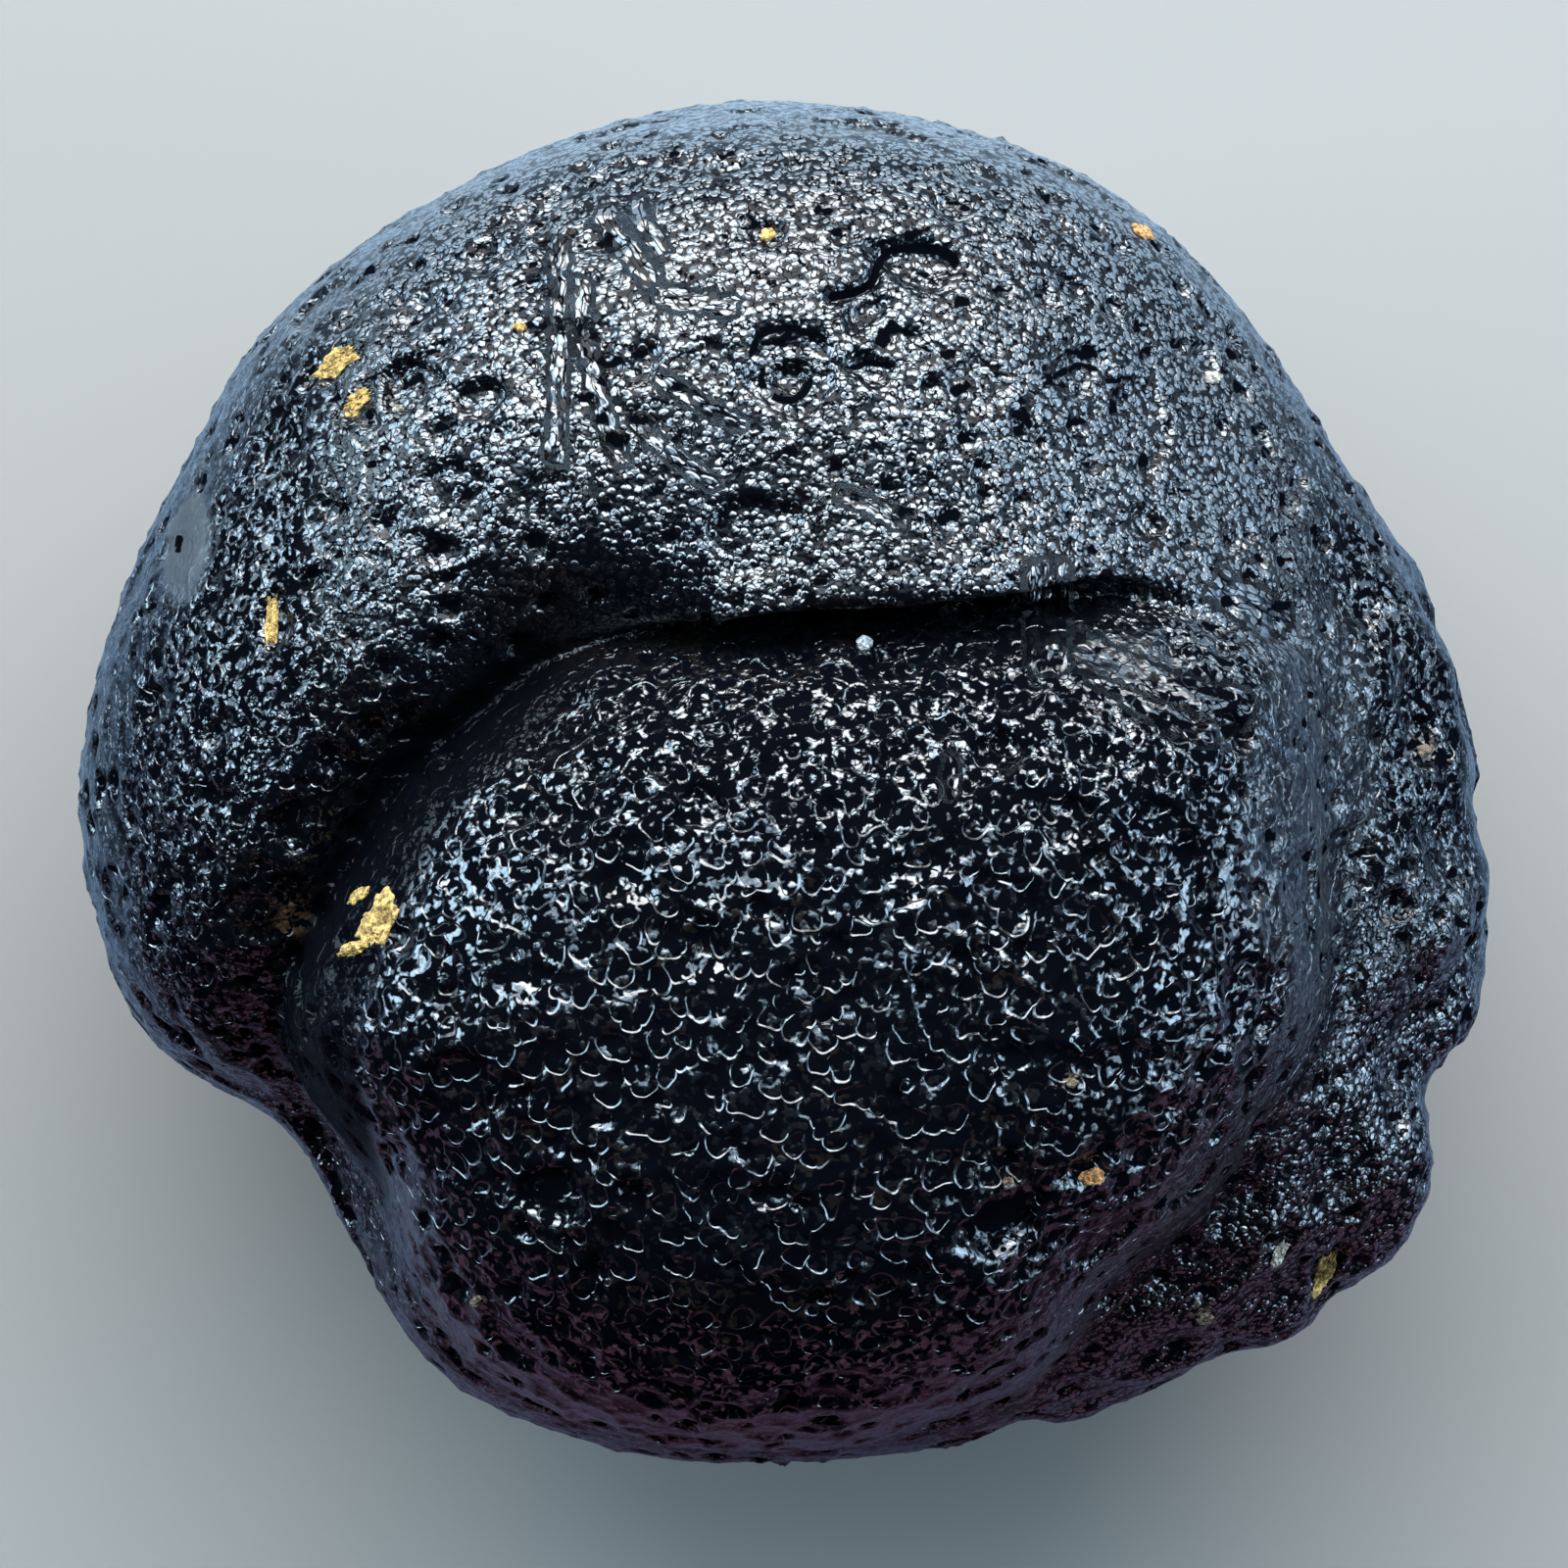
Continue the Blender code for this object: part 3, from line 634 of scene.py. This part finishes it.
def beside(flat, line):
    """How far points lie from a line, on which side of it, how far along it, and the line's length."""
    nearest = np.full(len(flat), 1e9)
    across, along = np.zeros(len(flat)), np.zeros(len(flat))
    start = 0.0
    for a, b in zip(line, line[1:]):
        way = b - a
        length = np.hypot(*way)
        way /= length
        t = np.clip((flat - a) @ way, 0, length)
        off = flat - a - t[:, None] * way
        far = np.hypot(off[:, 0], off[:, 1])
        closer = far < nearest
        nearest[closer] = far[closer]
        across[closer] = (off @ np.array((-way[1], way[0])))[closer]
        along[closer] = start + t[closer]
        start += length
    return nearest, across, along, start


def crevices(p):
    """How far points are from the nearest crevice, in its half widths, and how deep they are pressed in."""
    flat = seen(p)
    away, depth = np.full(len(p), 9.0), np.zeros(len(p))
    for wide, deep, points in CREVICES:
        far = beside(flat, curve_through(points))[0] / wide
        away = np.minimum(away, far)
        depth = np.maximum(depth, deep * np.exp(-((far / 1.4) ** 2)))
    return away, depth * on_top(p)


def streaks(p):
    """The place that the fine relief is read at: a point's own, and in a bundle one drawn out along it."""
    flat = seen(p)
    strength = np.zeros(len(p))
    place = p.copy()
    for number, (wide, points) in enumerate(STREAKS):
        nearest, across, along, length = beside(flat, curve_through(points))
        ends = smooth_step(0, 0.8, along) * smooth_step(length, length - 0.8, along)
        here = smooth_step(wide, wide * 0.5, nearest) * ends * on_top(p)
        better = here > strength
        strength[better] = here[better]
        place[better] = np.column_stack([across * 1.1, along * 0.5, np.full(len(p), 9.0 * number)])[better]
    apart = strength < 0.4
    place[apart] = p[apart]
    return place


def bare_places(p):
    flat = seen(p)
    found = np.zeros(len(p))
    for x, y, long, short, angle, amount in BARE:
        c, s = math.cos(math.radians(angle)), math.sin(math.radians(angle))
        u, v = (flat[:, 0] - x) * c + (flat[:, 1] - y) * s, (flat[:, 1] - y) * c - (flat[:, 0] - x) * s
        found = np.maximum(found, amount * smooth_step(1.15, 0.75, np.hypot(u / long, v / short)))
    return found * on_top(p)


def fan_of_lines(p):
    """1 at the fan of fine lines on the ball's upper right, where the glass isn't cupped."""
    x, y, long, short, angle = FAN
    flat = seen(p) - (x, y)
    c, s = math.cos(math.radians(angle)), math.sin(math.radians(angle))
    u, v = flat[:, 0] * c + flat[:, 1] * s, flat[:, 1] * c - flat[:, 0] * s
    return smooth_step(1.2, 0.7, np.hypot(u / long, v / short)) * on_top(p)


def stained(p):
    flat = seen(p)
    found = np.zeros(len(p))
    for x, y, radius in STAINS:
        found = np.maximum(found, smooth_step(1.2, 0.3, np.hypot(flat[:, 0] - x, flat[:, 1] - y) / radius))
    return found * on_top(p)


def lumpy(p):
    """1 on the lower right, where the surface stands in soft lumps."""
    turn, out = around_ball(p)
    return sector(turn, *LUMPY_SPAN) * smooth_step(*RIM_EDGE, out) * on_top(p)


def soft_lumps(p):
    share = lumpy(p)
    height = np.zeros(len(p))
    for i in np.nonzero(share > 0.01)[0]:
        height[i] = noise.noise(Vector(p[i] / SOFT_LUMP[0])) * SOFT_LUMP[1]
    return height * share


def relief(obj):
    """Presses in the pits, cups and crevices, keeps the bare places bare, and gives the pits."""
    p, n = points_of(obj.data), normals_of(obj.data)
    tree = tree_of(p)
    out = around_ball(p)[1]
    on_ball = smooth_step(*BALL_EDGE, out) * smooth_step(*BALL_ABOVE, p[:, 2])
    large, small = pits_on(obj), small_pits(obj)
    deep = pit_depths(p, n, tree, large) * PIT_SHARE
    bare = bare_places(p)
    deep = np.maximum(deep, pit_depths(p, n, tree, small) * (1 - bare))
    deep = np.maximum(deep, ring_grooves(p))
    deep = np.maximum(deep, crevices(p)[1])
    ball_cups, hood_cups = cups(p, *BALL_CUP), cups(p, *HOOD_CUP)
    fine = (hood_cups + (ball_cups - hood_cups) * on_ball) * (1 - bare)
    set_points(obj.data, p + n * (fine + soft_lumps(p) - deep)[:, None])
    return large, small


def thin_out(obj, triangles):
    faces = sum(len(f.vertices) - 2 for f in obj.data.polygons)
    modifier = obj.modifiers.new("fewer", "DECIMATE")
    modifier.ratio = triangles / faces
    above = obj.vertex_groups.new(name="above")
    high = points_of(obj.data)[:, 2] > WIDEST_HEIGHT - 1
    above.add(np.nonzero(high)[0].tolist(), THIN_ABOVE, "REPLACE")
    above.add(np.nonzero(~high)[0].tolist(), 1.0, "REPLACE")
    modifier.vertex_group = above.name
    settle(obj)
    obj.vertex_groups.clear()


def store(mesh, name, values):
    made = mesh.attributes.new(name, "FLOAT_VECTOR" if values.ndim == 2 else "FLOAT", "POINT")
    made.data.foreach_set("vector" if values.ndim == 2 else "value", values.astype(np.float32).ravel())


def mark(obj, large, small):
    """Stores where the ball, the streaks, the pits, the smooth places and so on are, for the glass, and where
    it is painted in shade.
    """
    p = points_of(obj.data)
    turn, out = around_ball(p)
    top = smooth_step(*BALL_ABOVE, p[:, 2])
    valley = sector(turn, *VALLEY_SPAN)
    inner = smooth_step(0.8 - 1.5 * valley, -1.5 - 2.5 * valley, out)
    store(obj.data, "ball", inner * top * (1 - 0.7 * fan_of_lines(p)))
    store(obj.data, "low_ball", smooth_step(0.5, -2.5, out) * top * smooth_step(0.5, -4.0, seen(p)[:, 1]))
    for name, span, inner, outer in CREASE_STRETCHES:
        here = sector(turn, *span) * smooth_step(*inner, out) * smooth_step(*outer, out) * top
        store(obj.data, name, here)
    store(obj.data, "flow", streaks(p))
    flat = seen(p)
    hood_top = smooth_step(1, 7, flat[:, 1])
    hood_top *= smooth_step(-18, -11, flat[:, 0]) * smooth_step(21, 15, flat[:, 0])
    cupped = np.where(out > 0, 1 - 0.7 * hood_top * on_top(p), 1.0)
    store(obj.data, "cupped", cupped * (1 - 0.8 * lumpy(p)))
    store(obj.data, "bare", bare_places(p))
    # How far the crevices are, which sets where they are painted black as shade
    store(obj.data, "crevice", crevices(p)[0])
    # Painted shade in the pits, kept off the bare places
    store(obj.data, "shade", painted_pit_shade(p, large + small) * (1 - bare_places(p)))
    store(obj.data, "rim", smooth_step(*RIM_TILT, 1 - normals_of(obj.data)[:, 2]) * on_top(p))
    store(obj.data, "stained", stained(p))


def fit(obj, box):
    """Brings the stone to metres, so that its box is the solid's."""
    p = points_of(obj.data)
    low, high = p.min(0), p.max(0)
    to_low, to_high = np.array(box[0]), np.array(box[1])
    set_points(obj.data, (p - low) / (high - low) * (to_high - to_low) + to_low)


def stone():
    obj = body()
    join(obj, socket(), "DIFFERENCE")
    join(obj, ball(), "UNION")
    remesh(obj, VOXEL, SMOOTH_ROUNDS)
    soften(obj, softer_places(points_of(obj.data)), SOFT_ROUNDS)
    swell(obj)
    large, small = relief(obj)
    p = points_of(obj.data)
    p[:, 2] = np.maximum(p[:, 2], 0)
    set_points(obj.data, p)
    thin_out(obj, TRIANGLES)
    mark(obj, large, small)
    fit(obj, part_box("tektite"))
    obj.data.shade_smooth()
    return obj


def look_down(surface, x, y):
    """The point of the stone that appears here from above, and the way it faces."""
    eye = Vector((0, 0, VIEW_HEIGHT * MM))
    target = Vector((x * MM, y * MM, WIDEST_HEIGHT * MM))
    place, facing, _, _ = surface.ray_cast(eye, (target - eye).normalized())
    return place, facing


def clay_lump(surface, number, x, y, long, short, angle):
    """A thin ragged crust that follows the stone, partly sunk in it."""
    obj = new_sphere(f"pit_clay.{number:02d}", 5 if long > 0.5 else 4)
    p = points_of(obj.data)
    middle, _ = look_down(surface, x, y)
    c, s = math.cos(math.radians(angle)), math.sin(math.radians(angle))
    placed = []
    for u, v, w in p:
        turn = math.atan2(v, u)
        edge = noise.noise(Vector((math.cos(turn) * 1.6, math.sin(turn) * 1.6, number * 3.7)))
        edge = 1 + 0.45 * edge + 0.25 * noise.noise(Vector((u * 5, v * 5, number * 5.1)))
        away_x, away_y = u * long * edge, v * short * edge
        place, facing = look_down(surface, x + away_x * c - away_y * s, y + away_x * s + away_y * c)
        if (place - middle).length > 1.5 * long * MM:
            place = middle + (place - middle).normalized() * 1.5 * long * MM
        thick = noise.noise(Vector((u * 4, v * 4, number * 2.3))) * 0.5 + 0.75
        lift = CLAY_THICK * w * (thick if w > 0 else 1.0)
        placed.append(place + facing * lift * MM)
    set_points(obj.data, np.array(placed))
    obj.data.shade_smooth()
    return obj


def clay_pieces(surface):
    """All the clay of one colour is one piece."""
    made = []
    for name in CLAY_COLOURS:
        lumps = [
            clay_lump(surface, i, *spot[:5]) for i, spot in enumerate(CLAY) if spot[5] == name
        ]
        piece = lumps[0]
        with bpy.context.temp_override(active_object=piece, selected_editable_objects=lumps):
            bpy.ops.object.join()
        piece.name = f"clay_{name}"
        piece.data.materials.clear()
        piece.data.materials.append(clay(f"{name}_clay", CLAY_COLOURS[name]))
        made.append(piece)
    return made


def grain(surface):
    """The white grain at the foot of the crease."""
    x, y, radius = GRAIN
    place, facing = look_down(surface, x, y)
    obj = new_sphere("white_grain", 4)
    p = points_of(obj.data)
    uneven = np.array([1 + 0.18 * noise.noise(Vector(q * 2.2)) for q in p])
    set_points(obj.data, p * uneven[:, None] * radius * MM + np.array(place + facing * radius * 0.35 * MM))
    obj.data.shade_smooth()
    obj.data.materials.append(clay("white_grain", (0.85, 0.84, 0.80)))
    return obj


class Value:
    """A number from a shader's socket. Python's operators on it add Math nodes."""

    def __init__(self, made, socket):
        self.made = made
        self.socket = socket

    def __add__(self, other):
        return self.made.math("ADD", self, other)

    def __radd__(self, other):
        return self.made.math("ADD", other, self)

    def __sub__(self, other):
        return self.made.math("SUBTRACT", self, other)

    def __rsub__(self, other):
        return self.made.math("SUBTRACT", other, self)

    def __mul__(self, other):
        return self.made.math("MULTIPLY", self, other)

    def __rmul__(self, other):
        return self.made.math("MULTIPLY", other, self)

    def __truediv__(self, other):
        return self.made.math("DIVIDE", self, other)

    def __pow__(self, other):
        return self.made.math("POWER", self, other)


class Finish:
    """A material under construction."""

    def __init__(self, name):
        self.material = bpy.data.materials.new(name)
        self.material.use_nodes = True
        self.tree = self.material.node_tree
        self.shader = self.tree.nodes["Principled BSDF"]

    def node(self, kind, settings=None, inputs=None, output=0):
        """Adds a node with these settings, links or sets its inputs, and gives one of its outputs."""
        node = self.tree.nodes.new(kind)
        for name, value in (settings or {}).items():
            if name == "stops":
                while len(node.color_ramp.elements) < len(value):
                    node.color_ramp.elements.new(1)
                for element, (place, colour) in zip(node.color_ramp.elements, value):
                    element.position = place
                    element.color = colour
            else:
                setattr(node, name, value)
        for name, value in (inputs or {}).items():
            self.put(node.inputs[name], value)
        return Value(self, node.outputs[output])

    def put(self, socket, value):
        if isinstance(value, Value):
            self.tree.links.new(value.socket, socket)
        else:
            socket.default_value = value

    def math(self, operation, *values, clamp=False):
        inputs = dict(enumerate(values))
        return self.node("ShaderNodeMath", {"operation": operation, "use_clamp": clamp}, inputs)

    def colours(self, share, one, other):
        """A colour that goes from one to the other."""
        return self.node("ShaderNodeMix", {"data_type": "RGBA"}, {0: share, 6: one, 7: other}, output=2)

    def over(self, shader, share):
        """Lays another shader over the Principled one where the share is 1."""
        mix = self.node("ShaderNodeMixShader", {}, {0: share})
        self.tree.links.new(self.shader.outputs[0], mix.socket.node.inputs[1])
        self.tree.links.new(shader.socket, mix.socket.node.inputs[2])
        self.tree.links.new(mix.socket, self.tree.nodes["Material Output"].inputs[0])

    def set(self, **values):
        for name, value in values.items():
            self.put(self.shader.inputs[name.replace("_", " ")], value)


def bent(f, place, size, wander, detail):
    """The place, carried off by a noise, so that shapes of this size become uneven."""
    settings = {"Vector": place, "Scale": 0.8 / size, "Detail": detail, "Roughness": 0.65}
    stray = f.node("ShaderNodeTexNoise", {}, settings, output=1)
    moved = f.node("ShaderNodeVectorMath", {"operation": "SCALE"}, {0: stray, "Scale": wander * size})
    return f.node("ShaderNodeVectorMath", {"operation": "ADD"}, {0: place, 1: moved})


def step(f, value, low, high, start=0.0, end=1.0):
    inputs = {0: value, 1: low, 2: high, 3: start, 4: end}
    return f.node("ShaderNodeMapRange", {"interpolation_type": "SMOOTHSTEP"}, inputs)


def cell(f, place, size):
    """How far each place is from the middle of its cell, in cell sizes."""
    return f.node("ShaderNodeTexVoronoi", {"feature": "F1"}, {"Vector": place, "Scale": 1 / size})


def etched(f, far, size, rim):
    """Round cups with a flat floor and a steep rim: 0 on the floor, 1 outside."""
    return step(f, far, 0.56 - rim / size, 0.56)


def labyrinth(f, place, size, wide):
    """Winding gaps, painted in shade: 1 in the gap."""
    settings = {"Vector": place, "Scale": 0.62 / size, "Detail": 1.0, "Roughness": 0.6}
    off = f.math("ABSOLUTE", f.node("ShaderNodeTexNoise", {}, settings) - 0.5)
    return step(f, off, 0.2 * wide, wide, 1.0, 0.0)


def glass():
    """Black glass, finely etched: beads and round cups, with painted shade in gaps, cup floors, pits and
    crevices.
    """
    f = Finish("black_glass")
    place = f.node("ShaderNodeTexCoord", output=3)
    mm = f.node("ShaderNodeVectorMath", {"operation": "SCALE"}, {0: place, "Scale": 1000.0})
    ball, low_ball, flank, gully, cupped, bare, stain, crevice, shade, rim = [
        f.node("ShaderNodeAttribute", {"attribute_name": name}, output=2)
        for name in (
            "ball", "low_ball", "flank", "gully", "cupped", "bare", "stained", "crevice", "shade", "rim"
        )
    ]
    flow = f.node("ShaderNodeAttribute", {"attribute_name": "flow"}, output=1)

    cups = etched(f, cell(f, bent(f, mm, 0.6, 1.0, 0.0), CUP_SIZE), CUP_SIZE, CUP_RIM)
    to_bead = cell(f, flow, BEAD_SIZE)
    gaps = labyrinth(f, flow, GAP_SIZE, GAP_WIDTH)
    fine = f.node("ShaderNodeTexNoise", {}, {"Vector": flow, "Scale": 2.8, "Detail": 1.0})
    hood = 1 - ball
    beads = step(f, to_bead, 0.30, 0.62, 1.0, 0.0) * (1 - cupped * 0.3)
    roughest = 0.085 + ball * 0.06
    fineness = (1 - low_ball * 0.72) * (1 - bare * 0.8) * (1 - flank * 0.4) * (1 - rim * 0.5)
    height = cups * cupped * 0.045 * (1 - bare * 0.9) + (fine * roughest + beads * 0.028) * fineness
    bump = f.node("ShaderNodeBump", {}, {"Height": height, "Distance": 0.001, "Strength": 1.0})

    patch = f.node("ShaderNodeTexNoise", {}, {"Vector": mm, "Scale": 0.3, "Detail": 0.0})
    tone = f.colours(step(f, patch, 0.35, 0.7), BLUE_BLACK, BROWN_BLACK)
    tone = f.colours(stain * step(f, fine, 0.35, 0.6), tone, STAIN)
    gloss = 0.15 + patch * 0.08 + bare * 0.35 + stain * 0.3 + rim * 0.1
    f.set(Base_Color=tone, Roughness=gloss, IOR=1.55, Normal=bump)
    f.shader.inputs["Specular IOR Level"].default_value = 1.0
    # A black diffuse laid over the glass: painted shade in gaps, cup floors, pits, crevices and the gully,
    # and a dulling of the bare places
    dull = f.node("ShaderNodeBsdfDiffuse", {}, {"Color": DARK})
    # Painted shade in the dark lines between the beads and in the winding gaps
    between = step(f, to_bead, 0.52, 0.63) * hood * (1 - cupped * 0.3)
    painted_gap_shade = f.math("MAXIMUM", gaps, between) * fineness
    edges = cups * (1 - cups) * 4
    # Painted shade on the floors of the cups, but not on their rims, the smooth rim or the bare places
    hollow_beside = step(f, cupped, 0.3, 1.0) * step(f, fine, 0.56, 0.48)
    hollow = f.math("MAXIMUM", ball * step(f, fine, 0.64, 0.54), hollow_beside)
    painted_floor_shade = (1 - edges) * hollow * (1 - rim) * (1 - bare)
    # Painted shade in the crevices, and in the pits from the stored shade
    painted_crevice_shade = step(f, crevice + fine * 0.9, 1.75, 1.35)
    deep_shade_and_dulling = f.math("MAXIMUM", step(f, shade + fine * 0.7, 0.85, 1.1), painted_crevice_shade)
    # Painted shade in the gully beside the crease, and a darker dulling of the bare places
    deep_shade_and_dulling = f.math("MAXIMUM", deep_shade_and_dulling, f.math("MAXIMUM", gully * 0.92, bare * 0.55))
    dark = f.math("MAXIMUM", painted_gap_shade, deep_shade_and_dulling)
    f.over(dull, f.math("MAXIMUM", dark, painted_floor_shade))
    return f.material


def clay(name, colour):
    """Dried clay: a dull crumb with darker and paler grains."""
    f = Finish(name)
    place = f.node("ShaderNodeTexCoord", output=3)
    mm = f.node("ShaderNodeVectorMath", {"operation": "SCALE"}, {0: place, "Scale": 1000.0})
    crumb = f.node("ShaderNodeTexNoise", {}, {"Vector": mm, "Scale": 3.6, "Detail": 5.0, "Roughness": 0.72})
    dark = tuple(c * 0.18 for c in colour)
    pale = tuple(min(1, c * 1.15 + 0.06) for c in colour)
    tone = f.colours(step(f, crumb, 0.36, 0.66), (*dark, 1), (*pale, 1))
    bump = f.node("ShaderNodeBump", {}, {"Height": crumb * 0.3, "Distance": 0.001, "Strength": 1.0})
    f.set(Base_Color=tone, Roughness=0.85, Normal=bump)
    return f.material


def pale_floor():
    """Pale and plain. In the stone it shows as a painted reflection, darker in front and beside so that the
    stone's rims don't turn pale, and paler behind.
    """
    f = Finish("floor")
    f.set(Base_Color=FLOOR, Roughness=0.85)
    y = f.node("ShaderNodeSeparateXYZ", {}, {0: f.node("ShaderNodeTexCoord", output=3)}, output=1)
    nearer = f.colours(step(f, y, -0.05, 0.0), PAINTED_REFLECTION_FRONT, PAINTED_REFLECTION_BESIDE)
    mirrored = f.colours(step(f, y, 0.01, 0.05), nearer, PAINTED_REFLECTION_BEHIND)
    # Rays that the stone mirrors see the painted reflection colours instead of the floor's own
    in_mirror = f.node("ShaderNodeLightPath", output=3)
    f.over(f.node("ShaderNodeBsdfDiffuse", {}, {"Color": mirrored}), in_mirror)
    return f.material


def floor():
    bpy.ops.mesh.primitive_plane_add(size=6)
    obj = bpy.context.object
    obj.name = "floor"
    obj.data.materials.append(pale_floor())


def softbox(name, place, size, power, colour):
    light = bpy.data.lights.new(name, "AREA")
    light.shape = "RECTANGLE"
    light.size, light.size_y = size
    light.energy = power
    light.color = colour
    obj = bpy.data.objects.new(name, light)
    obj.location = place
    obj.rotation_euler = (Vector((0, 0, 0.015)) - obj.location).to_track_quat("-Z", "Y").to_euler()
    obj.visible_camera = False
    bpy.context.scene.collection.objects.link(obj)


def studio():
    for box in SOFTBOXES:
        softbox(*box)
    world = bpy.data.worlds.new("studio")
    bpy.context.scene.world = world
    world.use_nodes = True
    tree = world.node_tree
    dark, pale = tree.nodes["Background"], tree.nodes.new("ShaderNodeBackground")
    dark.inputs[0].default_value = DARK_WORLD
    pale.inputs[0].default_value = PALE_WORLD
    path, mix = tree.nodes.new("ShaderNodeLightPath"), tree.nodes.new("ShaderNodeMixShader")
    tree.links.new(path.outputs["Is Camera Ray"], mix.inputs[0])
    tree.links.new(dark.outputs[0], mix.inputs[1])
    tree.links.new(pale.outputs[0], mix.inputs[2])
    tree.links.new(mix.outputs[0], tree.nodes["World Output"].inputs[0])


def camera():
    """Straight above the stone, as in the photo."""
    data = bpy.data.cameras.new("camera")
    data.lens, data.sensor_width, data.clip_start = CAMERA_LENS, CAMERA_SENSOR, 0.01
    obj = bpy.data.objects.new("camera", data)
    obj.location = (0, 0, VIEW_HEIGHT * MM)
    bpy.context.scene.collection.objects.link(obj)
    bpy.context.scene.camera = obj


def main():
    camera()
    studio()
    floor()
    piece = stone()
    piece.data.materials.clear()
    piece.data.materials.append(glass())
    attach(piece, "root")
    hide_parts("tektite")
    surface = surface_of(piece)
    for dirt in [*clay_pieces(surface), grain(surface)]:
        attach(dirt, "root")
    bpy.context.scene.view_settings.view_transform = "Standard"


main()
